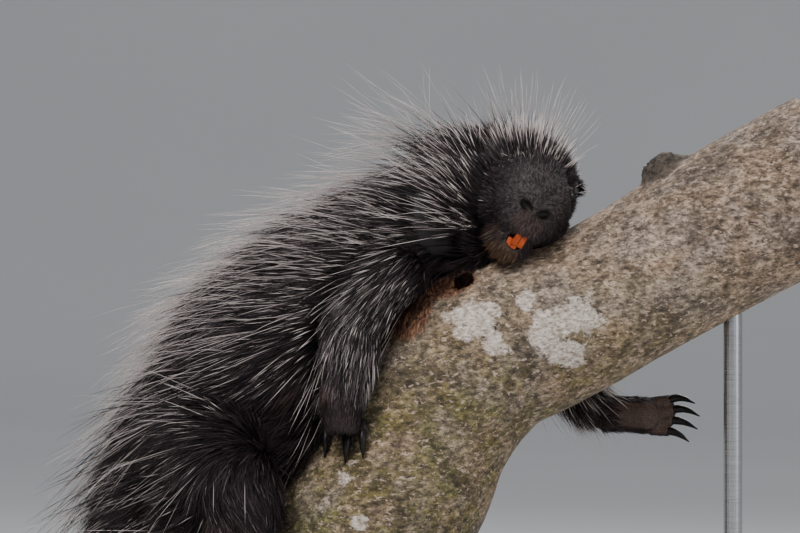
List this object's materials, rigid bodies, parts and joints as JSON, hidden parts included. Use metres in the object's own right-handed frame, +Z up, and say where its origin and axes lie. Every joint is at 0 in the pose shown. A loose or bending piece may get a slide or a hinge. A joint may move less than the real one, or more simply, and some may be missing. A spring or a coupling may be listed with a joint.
{
  "type": "porcupine, museum-style model on a limb",
  "caption": "Life-size still model of a North American porcupine asleep on a slanting limb, held up by a plain display stand.",
  "frame": {"origin": "centre of the underside of the stand's base", "axes": "+Z up, +X the way the limb rises and the animal lies, +Y away from the picture's viewer"},
  "size_m": [0.7238, 0.3, 0.6051],
  "materials": {
    "coat": "blackish brown guard hair with white-tipped quills",
    "face": "short grey-brown velvet fur",
    "foot": "short dark fur with bare brown soles",
    "claw": "black horn, dull gloss",
    "enamel": "orange tooth enamel",
    "eye": "dark wet eye",
    "bark": "mottled smooth bark with pale lichen",
    "stand": "satin black painted board",
    "rod": "brushed steel"
  },
  "bodies": {
    "root": {"limb": "bark", "stand_base": "stand", "stand_rod_lower": "rod", "stand_rod_upper": "rod", "torso": "coat", "neck": "coat", "tail": "coat", "head": "face", "ear_right": "coat", "ear_left": "coat", "eye_right": "eye", "eye_left": "eye", "foreleg_right": "coat", "foreleg_left": "coat", "hindleg_right": "coat", "hindleg_left": "coat", "forefoot_right": "foot", "claw_forefoot_right_1": "claw", "claw_forefoot_right_2": "claw", "claw_forefoot_right_3": "claw", "claw_forefoot_right_4": "claw", "forefoot_left": "foot", "claw_forefoot_left_1": "claw", "claw_forefoot_left_2": "claw", "claw_forefoot_left_3": "claw", "claw_forefoot_left_4": "claw", "hindfoot_right": "foot", "claw_hindfoot_right_1": "claw", "claw_hindfoot_right_2": "claw", "claw_hindfoot_right_3": "claw", "claw_hindfoot_right_4": "claw", "claw_hindfoot_right_5": "claw", "hindfoot_left": "foot", "claw_hindfoot_left_1": "claw", "claw_hindfoot_left_2": "claw", "claw_hindfoot_left_3": "claw", "claw_hindfoot_left_4": "claw", "claw_hindfoot_left_5": "claw", "incisor_upper_right": "enamel", "incisor_upper_left": "enamel", "incisor_lower_right": "enamel", "incisor_lower_left": "enamel"}
  },
  "joints": []
}
